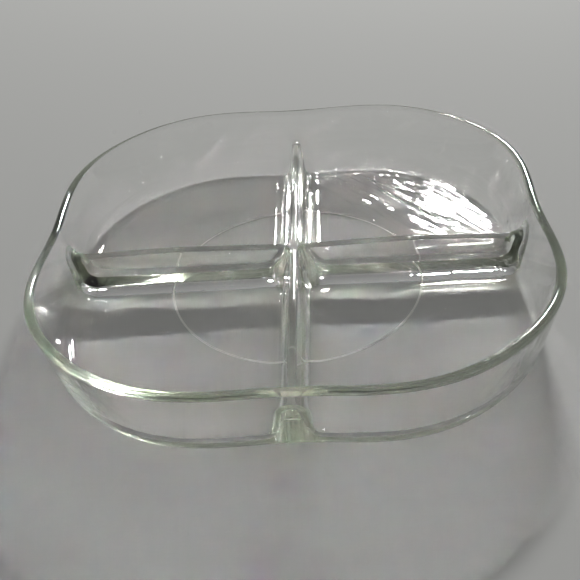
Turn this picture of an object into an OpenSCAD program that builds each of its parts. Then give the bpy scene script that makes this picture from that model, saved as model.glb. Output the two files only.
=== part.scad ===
// Four-part relish tray: one pressing of clear glass.
// A square tray with large round corners and softly drawn-in sides. Its wall leans out to a round rim,
// and two low ridges cross on the floor, so that the inside is four equal compartments.
// The frame: +Z up, the origin at the middle of the underside, the ridges along X and Y.

/* [Outline along the crest of the rim] */
// Width between the middles of two opposite sides
side_w = 223.8; // [190:0.2:260]
// How much wider it is half way round from a side to a corner; more of it draws in the middles of the sides
shoulder_extra = 18.5; // [12:0.1:24]
// How much wider it is from corner to corner
corner_extra = 28.4; // [20:0.2:40]

/* [Rim and wall] */
// Height of the rim's crest at the corners
rim_h = 39; // [34:0.5:50]
// How much lower the crest is at the middle of each side
rim_dip = 0.8; // [0:0.1:2]
// Thickness of the glass at the rim, which is a half round
rim_t = 4.4; // [3:0.1:5.5]
// Lean of the wall's outer face from upright, in degrees
outer_lean = 10.5; // [6:0.5:14]
// Lean of the wall's inner face; more than the outer one, so the wall thickens downwards
inner_lean = 11; // [8:0.5:18]
// Radius of the outer edge between the wall and the underside
base_edge_r = 10; // [6:0.5:12]
// Reach of the blend between the wall and the floor of a compartment
basin_blend = 7; // [5:0.5:12]

/* [Floor] */
// Thickness of the floor, outside the recess
floor_t = 4.6; // [3.5:0.1:7]
// Diameter of the round recess that the mould's bottom plate leaves in the underside
recess_d = 120; // [90:1:140]
// Depth of that recess
recess_depth = 0.4; // [0.2:0.05:1]

/* [Dividers] */
// Height of a ridge at the hub and where it meets the wall
ridge_h = 23.4; // [18:0.2:28]
// How much higher a ridge is half way along
ridge_crown = 1.3; // [0:0.1:2]
// Thickness of a ridge at its round top
ridge_t = 4; // [3:0.1:6]
// Thickness of a ridge at the floor, without its blends
root_t = 11; // [8:0.1:14]
// Reach of the blend in the angle of two ridges at the hub, at the floor
hub_blend = 13; // [8:0.5:15]
// Reach of that blend at the ridges' tops
hub_top_blend = 5; // [3:0.5:8]
// Reach of the blend from a ridge to the floor
root_blend = 8; // [5:0.5:10]
// Reach of the blend from a ridge to the wall, where the ridge's end spreads
end_blend = 7; // [5:0.5:12]

/* [Hidden] */

rim_r = rim_t / 2;
ridge_r = ridge_t / 2;
root_r = root_t / 2;
overrun = rim_t;

// The outline is a circle with two even waves on it: four to the turn make it square,
// and eight to the turn draw in the middles of its sides. The three widths set their sizes.
mean_r = side_w / 2 + (2 * shoulder_extra + corner_extra) / 8;
corner_wave = corner_extra / 4;
side_wave = (2 * shoulder_extra - corner_extra) / 8;

function outline_r(a) = mean_r - corner_wave * cos(4 * a) - side_wave * cos(8 * a);
function outline_turn(a) = 4 * corner_wave * sin(4 * a) + 8 * side_wave * sin(8 * a);
function along(a) = [cos(a), sin(a)];
function across(a) = [sin(a), -cos(a)];
function unit(v) = v / norm(v);
function outward(a) = unit(outline_r(a) * along(a) + outline_turn(a) * across(a));
// A point at angle a, that far outside the crest line
function beside(a, off) = outline_r(a) * along(a) + off * outward(a);
// How far a point p lies outside the crest line, nearly
function off_of(p, a) = (norm(p) - outline_r(a)) * along(a) * outward(a);

// Height of the centre of the rim's half round
function rim_z(a) = rim_h - rim_r - rim_dip * (1 + cos(4 * a)) / 2;

// Gaps in air from the inner faces of the glass; they are below zero inside it.
function wall_gap(a, off, z) = -off * cos(inner_lean) + (z - rim_z(a)) * sin(inner_lean) - rim_r;
function wall_off(a, gap, z) = -(gap + rim_r - (z - rim_z(a)) * sin(inner_lean)) / cos(inner_lean);
function within(v, low, high) = min(max(v, low), high);
function eased(s) = (1 - cos(180 * within(s, 0, 1))) / 2;
// The lesser of two gaps, with the angle between the two faces filled by a soft blend
function blend(p, q, reach) =
    let (overlap = max(reach - abs(p - q), 0) / reach)
    min(p, q) - reach * overlap * overlap / 4;
// Height of a ridge's top, which swells between the hub and the wall
function ridge_z(p) = ridge_h + ridge_crown * eased(1 - abs(1 - 2 * max(abs(p.x), abs(p.y)) / (side_w / 2)));
// The ridges are one cross in plan, with blends in its four angles that narrow evenly from the floor to the top.
function hub_reach(share) = hub_blend + (hub_top_blend - hub_blend) * share;
// They are round-topped and taper evenly.
function ridge_gap(p, z) =
    let (top = ridge_z(p) - ridge_r)
    let (level = within(z, floor_t, top))
    let (share = (level - floor_t) / (top - floor_t))
    let (from_middle = max(blend(abs(p.x), abs(p.y), hub_reach(share)), 0))
    norm([from_middle, z - level]) - root_r - (ridge_r - root_r) * share;
function ridge_blend(wall) = root_blend + (end_blend - root_blend) * eased(1 - wall / end_blend);
function glass_gap(p, a, off, z) =
    let (wall = wall_gap(a, off, z))
    blend(blend(wall, z - floor_t, basin_blend), ridge_gap(p, z), ridge_blend(wall));
// Height of the inner face over a point, found by halving
halvings = 22;
function face_z(p, a, off, low, high, left) =
    let (middle = (low + high) / 2)
    left == 0 ? middle
    : glass_gap(p, a, off, middle) > 0 ? face_z(p, a, off, low, middle, left - 1)
    : face_z(p, a, off, middle, high, left - 1);
function on_inner_face(p, a, off) = [p.x, p.y, face_z(p, a, off, 0, rim_h, halvings)];

// The inner face over the floor is a net whose lines run beside the ridges, close together where one rises.
// These are its lines on one side of a ridge's middle, as shares of its round top, its flank and the floor.
top_shares = [0, 0.45, 0.8, 1];
flank_shares = [0.1, 0.2, 0.3, 0.42, 0.58, 0.78, 1];
floor_shares = [0.09, 0.2, 0.33, 0.47, 0.61, 0.75, 0.88, 1];
net_edge = side_w / 2 + wall_off(0, basin_blend, floor_t);
foot_w = root_r + root_blend;
net_lines = concat(
    ridge_r * top_shares,
    [for (s = flank_shares) ridge_r + (foot_w - ridge_r) * s],
    [for (s = floor_shares) foot_w + (net_edge - foot_w) * s]
);
lines = len(net_lines) - 1;
function net_line(i) = sign(i) * net_lines[abs(i)];
// The net follows the blends in the hub's angles, and takes the outline's shape towards its edge.
function net_point(i, j) =
    let (square = [net_line(i), net_line(j)])
    let (share = max(abs(square.x), abs(square.y)) / net_edge)
    let (least = min(abs(square.x), abs(square.y)))
    let (rise = 1 - within((least - ridge_r) / (foot_w - ridge_r), 0, 1))
    let (shift = least == 0 ? 0 : least - blend(abs(square.x), abs(square.y), hub_reach(rise)))
    let (near = square + shift * (1 - share * share * share) * [sign(i), sign(j)])
    let (a = atan2(square.y, square.x))
    let (edge = beside(a, wall_off(a, basin_blend, floor_t)))
    near + (share * edge - near) * share * share;
function net_face(i, j) =
    let (p = net_point(i, j))
    let (a = atan2(p.y, p.x))
    on_inner_face(p, a, off_of(p, a));

// Rings go on from the edge of the net: up the inner face, over the rim, down the outer face.
ring_count = 8 * lines;
function ring_side(m) = floor(m / (2 * lines));
function ring_line(m) = m % (2 * lines) - lines;
function ring_angle(m) = 90 * ring_side(m) + atan(net_line(ring_line(m)) / net_edge);
function lifted(p, z) = [p.x, p.y, z];

blend_steps = 7;
wall_steps = 6;
rim_steps = 6;
outer_steps = 2;
edge_steps = 5;

// Through the blend from the floor to the wall, s runs from 0 to 1.
function blend_ring(a, s) =
    let (lead = basin_blend * (1 - 2 * s))
    let (least = basin_blend * pow(1 - abs(1 - 2 * s), 2) / 4)
    let (wall = least + max(lead, 0))
    let (level = floor_t + least + max(-lead, 0))
    let (off = wall_off(a, wall, level))
    on_inner_face(beside(a, off), a, off);
function wall_ring(a, s) =
    let (low = floor_t + basin_blend)
    let (high = rim_z(a) + rim_r * sin(inner_lean))
    let (off = wall_off(a, 0, low + (high - low) * s))
    on_inner_face(beside(a, off), a, off);
// Over the rim, s is 0 at the inner face, 0.5 on the crest and 1 at the outer face.
function rim_ring(a, s) =
    let (turn = s < 0.5 ? 180 - inner_lean - (90 - inner_lean) * 2 * s : 90 - (90 + outer_lean) * (2 * s - 1))
    lifted(beside(a, rim_r * cos(turn)), rim_z(a) + rim_r * sin(turn));
function edge_off(a) =
    (rim_r - base_edge_r + (base_edge_r - rim_z(a)) * sin(outer_lean)) / cos(outer_lean);
function edge_ring(a, s) =
    let (turn = -outer_lean - (90 - outer_lean) * s)
    lifted(beside(a, edge_off(a) + base_edge_r * cos(turn)), base_edge_r * (1 + sin(turn)));
function outer_ring(a, s) = rim_ring(a, 1) + (edge_ring(a, 0) - rim_ring(a, 1)) * s;

module pressing() {
    net = [for (i = [-lines : lines], j = [-lines : lines]) net_face(i, j)];
    rings = concat(
        [for (k = [1 : blend_steps], m = [0 : ring_count - 1]) blend_ring(ring_angle(m), k / blend_steps)],
        [for (k = [1 : wall_steps], m = [0 : ring_count - 1]) wall_ring(ring_angle(m), k / wall_steps)],
        [for (k = [1 : rim_steps], m = [0 : ring_count - 1]) rim_ring(ring_angle(m), k / rim_steps)],
        [for (k = [1 : outer_steps], m = [0 : ring_count - 1]) outer_ring(ring_angle(m), k / outer_steps)],
        [for (k = [1 : edge_steps], m = [0 : ring_count - 1]) edge_ring(ring_angle(m), k / edge_steps)]
    );
    ring_rows = blend_steps + wall_steps + rim_steps + outer_steps + edge_steps;
    across_net = 2 * lines + 1;
    function net_id(i, j) = (i + lines) * across_net + j + lines;
    function edge_id(m) =
        let (t = ring_line(m))
        [net_id(lines, t), net_id(-t, lines), net_id(-lines, -t), net_id(t, -lines)][ring_side(m)];
    function ring_id(k, m) =
        let (turn = m % ring_count)
        k == 0 ? edge_id(turn) : len(net) + (k - 1) * ring_count + turn;
    // Each cell is cut along the diagonal that points at the hub, so the four quarters mirror each other.
    function cell(p, q, r, s, flip) = flip ? [[p, q, r], [p, r, s]] : [[p, q, s], [q, r, s]];
    net_faces = [
        for (i = [-lines : lines - 1], j = [-lines : lines - 1])
            each cell(net_id(i, j), net_id(i, j + 1), net_id(i + 1, j + 1), net_id(i + 1, j),
                      (i >= 0) == (j >= 0))
    ];
    ring_faces = [
        for (k = [0 : ring_rows - 1], m = [0 : ring_count - 1])
            each cell(ring_id(k, m), ring_id(k, m + 1), ring_id(k + 1, m + 1), ring_id(k + 1, m),
                      ring_line(m) >= 0)
    ];
    underside = [for (m = [0 : ring_count - 1]) ring_id(ring_rows, m)];
    polyhedron(points = concat(net, rings), faces = concat(net_faces, ring_faces, [underside]));
}

module glass_tray() {
    color([0.86, 0.93, 0.89, 0.45])
        difference() {
            pressing();
            translate([0, 0, -overrun])
                cylinder(d = recess_d, h = overrun + recess_depth, $fn = 128);
        }
}

glass_tray();
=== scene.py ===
"""A four-part relish tray of clear pressed glass, on a plain pale floor in soft studio light.

Metres, with +Z up and the origin at the middle of the tray's underside, as in the CAD frame.
"""

import bpy
import numpy as np
from mathutils import Matrix


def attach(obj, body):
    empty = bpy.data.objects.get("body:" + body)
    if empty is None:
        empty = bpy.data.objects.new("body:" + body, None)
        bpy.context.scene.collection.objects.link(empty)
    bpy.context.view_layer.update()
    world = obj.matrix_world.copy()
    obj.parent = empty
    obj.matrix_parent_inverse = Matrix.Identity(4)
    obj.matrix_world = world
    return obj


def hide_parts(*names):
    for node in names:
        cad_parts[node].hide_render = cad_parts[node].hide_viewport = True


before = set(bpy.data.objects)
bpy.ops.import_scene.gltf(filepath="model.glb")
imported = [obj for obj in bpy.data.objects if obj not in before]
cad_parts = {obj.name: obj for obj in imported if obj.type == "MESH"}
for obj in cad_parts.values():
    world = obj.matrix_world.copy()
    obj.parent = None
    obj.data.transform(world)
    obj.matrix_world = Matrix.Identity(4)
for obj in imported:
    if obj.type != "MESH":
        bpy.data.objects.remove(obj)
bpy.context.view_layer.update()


# The tray
# The real piece is one pressing of clear soda glass. A plunger forms the four compartments and the cross
# of ridges, and the rim is melted round in a flame. A plate in the mould's bottom pushes the tray out,
# and leaves the shallow round recess in the underside.

# The outline is a circle with two even waves on it: four to the turn make it square, and eight draw in
# its sides
side_w = 0.2238
shoulder_extra = 0.0185
corner_extra = 0.0284
mean_r = side_w / 2 + (2 * shoulder_extra + corner_extra) / 8
corner_wave = corner_extra / 4
side_wave = (2 * shoulder_extra - corner_extra) / 8

# The wall leans out to a half round rim, which dips at the middle of each side
rim_h = 0.039
rim_dip = 0.0008
rim_r = 0.0022
outer_lean = np.radians(10.5)
inner_lean = np.radians(11)
base_edge_r = 0.01
basin_blend = 0.007

# The floor, whose recess has a soft edge
floor_t = 0.0046
recess_r = 0.06
recess_depth = 0.0004
recess_soft = 0.0006

# A ridge reaches root_r to either side of its middle at the floor and ridge_r at its round top, and it
# stands highest half way out
ridge_h = 0.0234
ridge_crown = 0.0013
ridge_r = 0.002
root_r = 0.0055
hub_blend = 0.013
hub_top_blend = 0.005
root_blend = 0.008
end_blend = 0.007


def outline(a):
    """Radius of the rim's crest at angle a, and the outward unit normal of that curve."""
    r = mean_r - corner_wave * np.cos(4 * a) - side_wave * np.cos(8 * a)
    turn = 4 * corner_wave * np.sin(4 * a) + 8 * side_wave * np.sin(8 * a)
    along = np.stack([np.cos(a), np.sin(a)], -1)
    across = np.stack([np.sin(a), -np.cos(a)], -1)
    normal = r[..., None] * along + turn[..., None] * across
    return r, normal / np.linalg.norm(normal, axis=-1, keepdims=True)


def beside(a, off):
    """The crest line's point at angle a, moved outwards along its normal by off."""
    r, normal = outline(a)
    along = np.stack([np.cos(a), np.sin(a)], -1)
    return r[..., None] * along + off[..., None] * normal


def rim_z(a):
    """Height of the centre of the rim's half round: level, less a cosine's dip at each side's middle."""
    return rim_h - rim_r - rim_dip * (1 + np.cos(4 * a)) / 2


def wall_off(a, gap, z):
    """How far outside the crest line a point at height z lies that is gap away from the inner face."""
    return -(gap + rim_r - (z - rim_z(a)) * np.sin(inner_lean)) / np.cos(inner_lean)


def eased(s):
    """Half a cosine from 0 to 1."""
    return (1 - np.cos(np.pi * np.clip(s, 0, 1))) / 2


def blend(p, q, reach):
    """The lesser of two gaps, less a parabola where they differ by less than reach, to fill the angle."""
    overlap = np.maximum(reach - np.abs(p - q), 0) / reach
    return np.minimum(p, q) - reach * overlap * overlap / 4


def hub_reach(share):
    """Reach of the hub's four blends, which narrows evenly from the floor to the tops, at share 1."""
    return hub_blend + (hub_top_blend - hub_blend) * share


def glass_gap(x, y, a, off, z):
    """How far a point in the tray lies from glass: the blend of the leaning wall, the floor and the
    ridges, which are a round-topped taper round the blended distance from the two middle lines."""
    wall = -off * np.cos(inner_lean) + (z - rim_z(a)) * np.sin(inner_lean) - rim_r
    swell = eased(1 - np.abs(1 - 4 * np.maximum(np.abs(x), np.abs(y)) / side_w))
    top = ridge_h + ridge_crown * swell - ridge_r
    level = np.clip(z, floor_t, top)
    share = (level - floor_t) / (top - floor_t)
    from_middle = np.maximum(blend(np.abs(x), np.abs(y), hub_reach(share)), 0)
    ridge = np.hypot(from_middle, z - level) - root_r - (ridge_r - root_r) * share
    spread = eased(1 - wall / end_blend)
    basin = blend(wall, z - floor_t, basin_blend)
    return blend(basin, ridge, root_blend + (end_blend - root_blend) * spread)


def on_inner_face(xy, a, off, halvings=34):
    """Points over xy where the gap to glass is nothing, found by halving heights from 0 to the rim."""
    x, y = xy[..., 0], xy[..., 1]
    low, high = np.zeros_like(x), np.full_like(x, rim_h)
    for _ in range(halvings):
        z = (low + high) / 2
        clear = glass_gap(x, y, a, off, z) > 0
        low, high = np.where(clear, low, z), np.where(clear, z, high)
    return np.stack([x, y, (low + high) / 2], -1)


def lifted(xy, z):
    """Points over xy at height z."""
    return np.concatenate([xy, np.broadcast_to(z, xy.shape[:-1])[..., None]], -1)


# Lines of the net over the floor, from a ridge's middle outwards: its round top, its flank, the open
# floor. They lie close together where the inside bends most. Each space between them is cut in three.
net_edge = side_w / 2 + float(wall_off(np.zeros(()), basin_blend, floor_t))
foot_w = root_r + root_blend
coarse = np.concatenate(
    [
        ridge_r * np.array([0, 0.45, 0.8, 1]),
        ridge_r + (foot_w - ridge_r) * np.array([0.1, 0.2, 0.3, 0.42, 0.58, 0.78, 1]),
        foot_w + (net_edge - foot_w) * np.array([0.09, 0.2, 0.33, 0.47, 0.61, 0.75, 0.88, 1]),
    ]
)
cuts = 3
half = cuts * (len(coarse) - 1)
fine = np.interp(np.linspace(0, len(coarse) - 1, half + 1), np.arange(len(coarse)), coarse)
line = np.concatenate([-fine[:0:-1], fine])


def net():
    """A square net of points on the inner face. Its lines are moved along the diagonals by the hub's
    blend, which they follow, and drawn to the outline with the cube of their distance from the hub."""
    square = np.stack(np.meshgrid(line, line, indexing="ij"), -1)
    size = np.abs(square)
    share = size.max(-1) / net_edge
    least = size.min(-1)
    rise = 1 - np.clip((least - ridge_r) / (foot_w - ridge_r), 0, 1)
    shift = np.where(least == 0, 0, least - blend(size[..., 0], size[..., 1], hub_reach(rise)))
    near = square + (shift * (1 - share**3))[..., None] * np.sign(square)
    a = np.arctan2(square[..., 1], square[..., 0])
    edge = beside(a, wall_off(a, basin_blend, floor_t))
    xy = near + (share[..., None] * edge - near) * share[..., None] ** 2
    a = np.arctan2(xy[..., 1], xy[..., 0])
    r, normal = outline(a)
    off = (np.hypot(xy[..., 0], xy[..., 1]) - r) * (
        np.cos(a) * normal[..., 0] + np.sin(a) * normal[..., 1]
    )
    return on_inner_face(xy, a, off)


# The net in the recess ends a hair inside its edge, so that the edge's bend stays out of its shading
guard = 0.0002


def base_net():
    """The same square net over the recess in the underside, drawn to a circle just inside its edge."""
    square = np.stack(np.meshgrid(line, line, indexing="ij"), -1) / net_edge
    share = np.abs(square).max(-1)[..., None]
    not_zero = 1e-12
    length = np.maximum(np.linalg.norm(square, axis=-1, keepdims=True), not_zero)
    xy = (recess_r - guard) * (square + (share * square / length - square) * share)
    return lifted(xy, recess_depth)


# The rings go on from the net's edge, so they have its angles, on four sides
quarter = np.arctan(line[:-1] / net_edge)
angle = np.concatenate([quarter + side * np.pi / 2 for side in range(4)])
blend_steps = 24
wall_steps = 20
rim_steps = 24
outer_steps = 12
base_edge_steps = 18
recess_steps = 6
guard_share = 0.01


def steps(first, last, number):
    """Evenly spaced values up to last, a number of them, the first of which is one step past first."""
    return np.linspace(first, last, number + 1)[1:]


def rings():
    """Rings round the tray from the net's edge: through the blend, up the inner face, over the half
    round rim, down the outer face, round the bottom edge, in along the foot, and up the recess's side."""
    rows = []
    for s in steps(0, 1, blend_steps):
        lead = basin_blend * (1 - 2 * s)
        least = basin_blend * (1 - abs(1 - 2 * s)) ** 2 / 4
        off = wall_off(angle, least + max(lead, 0), floor_t + least + max(-lead, 0))
        rows.append(on_inner_face(beside(angle, off), angle, off))
    low, high = floor_t + basin_blend, rim_z(angle) + rim_r * np.sin(inner_lean)
    for s in steps(0, 1, wall_steps):
        off = wall_off(angle, 0, low + (high - low) * s)
        rows.append(on_inner_face(beside(angle, off), angle, off))
    for t in steps(np.pi - inner_lean, -outer_lean, rim_steps):
        off = np.full_like(angle, rim_r * np.cos(t))
        rows.append(lifted(beside(angle, off), rim_z(angle) + rim_r * np.sin(t)))
    inset = rim_r - base_edge_r + (base_edge_r - rim_z(angle)) * np.sin(outer_lean)
    centre = inset / np.cos(outer_lean)
    edge_start = beside(angle, centre + base_edge_r * np.cos(outer_lean))
    wall_start, wall_end = rows[-1], lifted(edge_start, base_edge_r * (1 - np.sin(outer_lean)))
    for s in steps(0, 1, outer_steps):
        rows.append(wall_start + (wall_end - wall_start) * s)
    for t in steps(-outer_lean, -np.pi / 2, base_edge_steps):
        bend = beside(angle, centre + base_edge_r * np.cos(t))
        rows.append(lifted(bend, base_edge_r * (1 + np.sin(t))))
    foot = rows[-1][:, :2]
    circle = np.stack([np.cos(angle), np.sin(angle)], -1)
    # Narrow guard rings at both ends keep the smooth shading of the flat foot from bending at its edges
    for s in (guard_share, 0.5, 1 - guard_share, 1):
        rows.append(lifted(foot + ((recess_r + recess_soft) * circle - foot) * s, 0.0))
    for s in steps(0, 1, recess_steps):
        rows.append(lifted((recess_r + recess_soft * (1 - s)) * circle, recess_depth * eased(s)))
    return np.array(rows)


def quads(rows, columns):
    """Corner numbers of a grid's faces, which face up where rows run outwards and columns turn left."""
    i, j = np.meshgrid(np.arange(rows - 1), np.arange(columns - 1), indexing="ij")
    p = (i * columns + j).ravel()
    return np.stack([p, p + columns, p + columns + 1, p + 1], -1)


# One skin: the net inside, the rings, and the net over the recess. A ladder of point numbers joins them.
top_net, skirt, under_net = net(), rings(), base_net()
count = len(line)
along_side = np.arange(-half, half)
far_side = np.full(2 * half, half)
edge_i = half + np.concatenate([far_side, -along_side, -far_side, along_side])
edge_j = half + np.concatenate([along_side, far_side, -along_side, -far_side])
edge_ids = edge_i * count + edge_j
around = len(angle)
top_points = count * count
ring_ids = top_points + np.arange(len(skirt) * around).reshape(len(skirt), around)
base_ids = top_points + len(skirt) * around + edge_ids
ladder = np.concatenate([edge_ids[None], ring_ids, base_ids[None]])
ladder = np.concatenate([ladder, ladder[:, :1]], 1)
points = np.concatenate([top_net.reshape(-1, 3), skirt.reshape(-1, 3), under_net.reshape(-1, 3)])
ring_quads = np.stack([ladder[:-1, :-1], ladder[1:, :-1], ladder[1:, 1:], ladder[:-1, 1:]], -1)
net_quads = quads(count, count)
faces = np.concatenate(
    [net_quads, ring_quads.reshape(-1, 4), net_quads[:, ::-1] + top_points + len(skirt) * around]
)

mesh = bpy.data.meshes.new("pressed_glass_tray")
mesh.from_pydata(points.tolist(), [], faces.tolist())
mesh.polygons.foreach_set("use_smooth", np.ones(len(faces), bool))
mesh.update()
tray = bpy.data.objects.new("pressed_glass_tray", mesh)
bpy.context.scene.collection.objects.link(tray)


class Value:
    """A node socket that takes part in Python sums. Each sum adds a Math node."""

    def __init__(self, tree, socket):
        self.tree, self.socket = tree, socket

    def sum(self, operation, other=0.0, turned=False):
        """The operation on this value and other, which swap places if turned."""
        pair = (other, self) if turned else (self, other)
        node = add(self.tree, "ShaderNodeMath", {"operation": operation}, {0: pair[0], 1: pair[1]})
        return Value(self.tree, node.outputs[0])

    def __add__(self, other):
        return self.sum("ADD", other)

    __radd__ = __add__

    def __sub__(self, other):
        return self.sum("SUBTRACT", other)

    def __rsub__(self, other):
        return self.sum("SUBTRACT", other, True)

    def __mul__(self, other):
        return self.sum("MULTIPLY", other)

    __rmul__ = __mul__


def add(tree, kind, settings=None, inputs=None):
    """Adds a node, makes its settings, then gives its sockets values or links."""
    node = tree.nodes.new(kind)
    for name, value in (settings or {}).items():
        setattr(node, name, value)
    for name, value in (inputs or {}).items():
        if isinstance(value, Value):
            value = value.socket
        if isinstance(value, bpy.types.NodeSocket):
            tree.links.new(value, node.inputs[name])
        else:
            node.inputs[name].default_value = value
    return node


def parts(tree, vector):
    """The x, y and z of a vector socket, as values."""
    split = add(tree, "ShaderNodeSeparateXYZ", {}, {0: vector})
    return [Value(tree, socket) for socket in split.outputs]


def noise(tree, vector, scale, detail, roughness=0.5):
    """A value that wanders softly between 0 and 1, with waves about 1 / scale long."""
    inputs = {"Vector": vector, "Scale": scale, "Detail": detail, "Roughness": roughness}
    return Value(tree, add(tree, "ShaderNodeTexNoise", {}, inputs).outputs["Fac"])


def fade(tree, value, start, end):
    """A value that goes evenly from 0 where value is start to 1 where it is end, and no further."""
    return Value(tree, add(tree, "ShaderNodeMapRange", {}, {0: value, 1: start, 2: end}).outputs[0])


glass = bpy.data.materials.new("clear_soda_glass")
glass.use_nodes = True
tree = glass.node_tree
tree.nodes.clear()
place = add(tree, "ShaderNodeTexCoord").outputs["Object"]
x, y, z = parts(tree, place)

# The cold plunger leaves long soft waves in the skin, and short slanting wrinkles that mirror each other
# left and right. The wrinkles are strongest on the floor of the back right corner, where x + y is large.
wave_scale = 38.0
wrinkle_size = (0.04, 0.009, 0.012)
wrinkle_turn = -0.9
wrinkle_strength = 0.7
corner_strength = 14.0
corner_start = 0.075
corner_full = 0.125
wall_z = 0.014
deep_z = 0.006
skin_relief = 0.00012

folded = add(tree, "ShaderNodeCombineXYZ", {}, {0: x.sum("ABSOLUTE"), 1: y, 2: z}).outputs[0]
slant = {"Vector": folded, "Rotation": (0.0, 0.0, wrinkle_turn), "Scale": wrinkle_size}
drawn_out = add(tree, "ShaderNodeMapping", {"vector_type": "TEXTURE"}, slant).outputs[0]
in_corner = fade(tree, x + y, corner_start, corner_full) * fade(tree, z, wall_z, deep_z)
strength = wrinkle_strength + corner_strength * in_corner
relief = noise(tree, place, wave_scale, 1.0, 0.4) + strength * noise(tree, drawn_out, 1.0, 2.0)
bump = add(tree, "ShaderNodeBump", {}, {"Strength": 1.0, "Distance": skin_relief, "Height": relief})
body = add(
    tree,
    "ShaderNodeBsdfPrincipled",
    {},
    {
        "Base Color": (1.0, 1.0, 1.0, 1.0),
        "Roughness": 0.0,
        "IOR": 1.52,
        "Transmission Weight": 1.0,
        "Normal": bump.outputs["Normal"],
    },
)

# The recess's edge gets a thin band of white matt finish, broken up by specks, mixed over the clear glass
white_band_half = 0.0005
band_white = (0.92, 0.92, 0.9, 1.0)
speck_scale = 500.0

from_edge = ((x * x + y * y).sum("SQRT") - (recess_r + recess_soft / 2)).sum("ABSOLUTE")
band_specks = 0.8 + 0.6 * noise(tree, place, speck_scale, 1.0)
white_band = from_edge.sum("LESS_THAN", white_band_half) * z.sum("LESS_THAN", 2 * recess_depth) * band_specks
white_band = white_band.sum("MINIMUM", 1.0)
band_matt = add(tree, "ShaderNodeBsdfDiffuse", {}, {"Color": band_white})
skin = add(tree, "ShaderNodeMixShader", {}, {0: white_band, 1: body.outputs[0], 2: band_matt.outputs[0]})

# A little iron in the glass turns its thick places green
iron_tint = (0.4, 0.5, 0.25, 1.0)
iron_per_m = 5.0

tint = add(tree, "ShaderNodeVolumeAbsorption", {}, {"Color": iron_tint, "Density": iron_per_m})
add(tree, "ShaderNodeOutputMaterial", {}, {"Surface": skin.outputs[0], "Volume": tint.outputs[0]})
mesh.materials.append(glass)

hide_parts("glass_tray")
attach(tray, "root")


# The floor
# A plain pale table top, matt, which isn't part of the object. It lies a hair under the tray's foot, so
# that glass and table don't share a face.
floor_reach = 3.0
floor_gap = 0.0002
floor_color = (0.52, 0.522, 0.505, 1)

ground = bpy.data.meshes.new("floor")
ground.from_pydata(
    [(floor_reach * i, floor_reach * j, -floor_gap) for i, j in ((-1, -1), (1, -1), (1, 1), (-1, 1))],
    [],
    [(0, 1, 2, 3)],
)
floor = bpy.data.objects.new("floor", ground)
bpy.context.scene.collection.objects.link(floor)
matt = bpy.data.materials.new("pale_matt_floor")
matt.use_nodes = True
finish = matt.node_tree.nodes["Principled BSDF"].inputs
finish["Base Color"].default_value = floor_color
finish["Roughness"].default_value = 0.9
finish["Specular IOR Level"].default_value = 0.2
ground.materials.append(matt)


# The light
# A small bright window behind the tray, a little to its right, in a room that is brighter overhead, on
# the right and on the near side. To the eye, and through the glass, it is paler near the horizon.
window_at = np.array([0.46, 1.99, 1.255])
window_size = (0.34, 0.16)
window_watts = 38
room_level = 0.145
more_overhead = 0.18
more_right = 0.08
more_near = 0.06
more_at_horizon = 0.18
horizon_reach = 0.25


def set_up(obj, right, up, back, place):
    """Puts obj at place, with its own x, y and z axes along right, up and back."""
    rows = np.vstack([np.column_stack([right, up, back, place]), (0, 0, 0, 1)])
    obj.matrix_world = Matrix(rows.tolist())
    bpy.context.scene.collection.objects.link(obj)


lamp = bpy.data.lights.new("window", "AREA")
lamp.shape = "RECTANGLE"
lamp.size, lamp.size_y = window_size
lamp.energy = window_watts
back = window_at / np.linalg.norm(window_at)
right = np.cross((0, 0, 1), back)
right /= np.linalg.norm(right)
set_up(bpy.data.objects.new("window", lamp), right, np.cross(back, right), back, window_at)

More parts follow.
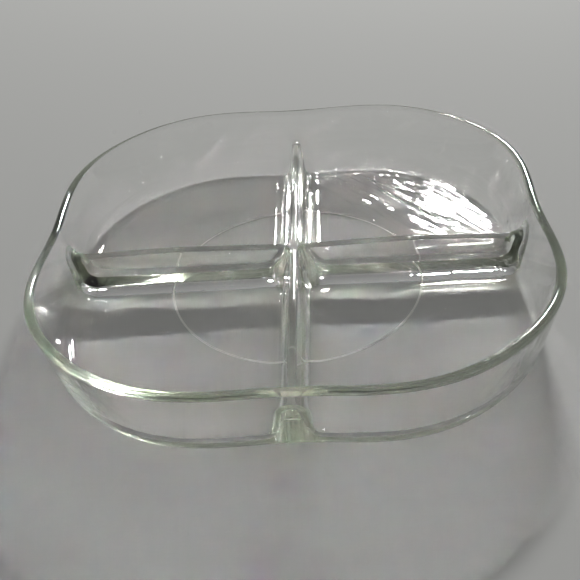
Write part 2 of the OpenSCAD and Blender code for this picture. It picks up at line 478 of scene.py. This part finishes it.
world = bpy.data.worlds.new("room")
world.use_nodes = True
bpy.context.scene.world = world
tree = world.node_tree
tree.nodes.clear()
east, north, up = parts(tree, add(tree, "ShaderNodeTexCoord").outputs["Generated"])
overhead = up.sum("MAXIMUM", 0.0)
south = (0.0 - north).sum("MAXIMUM", 0.0)
rays = add(tree, "ShaderNodeLightPath").outputs
shown = [Value(tree, rays[kind]) for kind in ("Is Camera Ray", "Is Glossy Ray", "Is Transmission Ray")]
seen = (shown[0] + shown[1] + shown[2]).sum("MINIMUM", 1.0)
haze = (1.0 - 1 / horizon_reach * up.sum("ABSOLUTE")).sum("MAXIMUM", 0.0)
level = room_level + more_overhead * overhead + more_right * east + more_near * south
level = level + more_at_horizon * seen * haze
sky = add(tree, "ShaderNodeBackground", {}, {"Color": (1.0, 1.0, 1.0, 1.0), "Strength": level})
add(tree, "ShaderNodeOutputWorld", {}, {"Surface": sky.outputs[0]})

# Thick glass sends light round inside it many times, so more bounces are followed than usual, and the
# light through glass is neither clamped nor blurred
cycles = bpy.context.scene.cycles
cycles.max_bounces = 32
cycles.glossy_bounces = 24
cycles.transmission_bounces = 24
cycles.diffuse_bounces = 4
cycles.sample_clamp_indirect = 0.0
cycles.blur_glossy = 0.0


# The camera
# It stands where the photograph was taken from, found from the rim, the ring on the floor and the
# ridges. It looks at aim from a distance, and is turned about its own axis by roll.
aim = np.array([-0.003552, -0.005169, 0.0])
elevation = np.radians(37.589)
heading = np.radians(4.029)
roll = np.radians(5.227)
distance = 0.406136
photo_w = 580
focal_px = 835.79

camera = bpy.data.cameras.new("camera")
camera.sensor_width = 36.0
camera.lens = focal_px / photo_w * camera.sensor_width
camera.clip_start = 0.01
level_way = np.array([np.sin(heading), -np.cos(heading), 0.0])
back = level_way * np.cos(elevation) + (0.0, 0.0, np.sin(elevation))
right = np.cross(-back, (0, 0, 1))
right /= np.linalg.norm(right)
down = np.cross(-back, right)
turned_right = np.cos(roll) * right + np.sin(roll) * down
turned_down = np.cos(roll) * down - np.sin(roll) * right
eye = bpy.data.objects.new("camera", camera)
set_up(eye, turned_right, -turned_down, back, aim + back * distance)
bpy.context.scene.camera = eye

bpy.context.scene.view_settings.view_transform = "Standard"
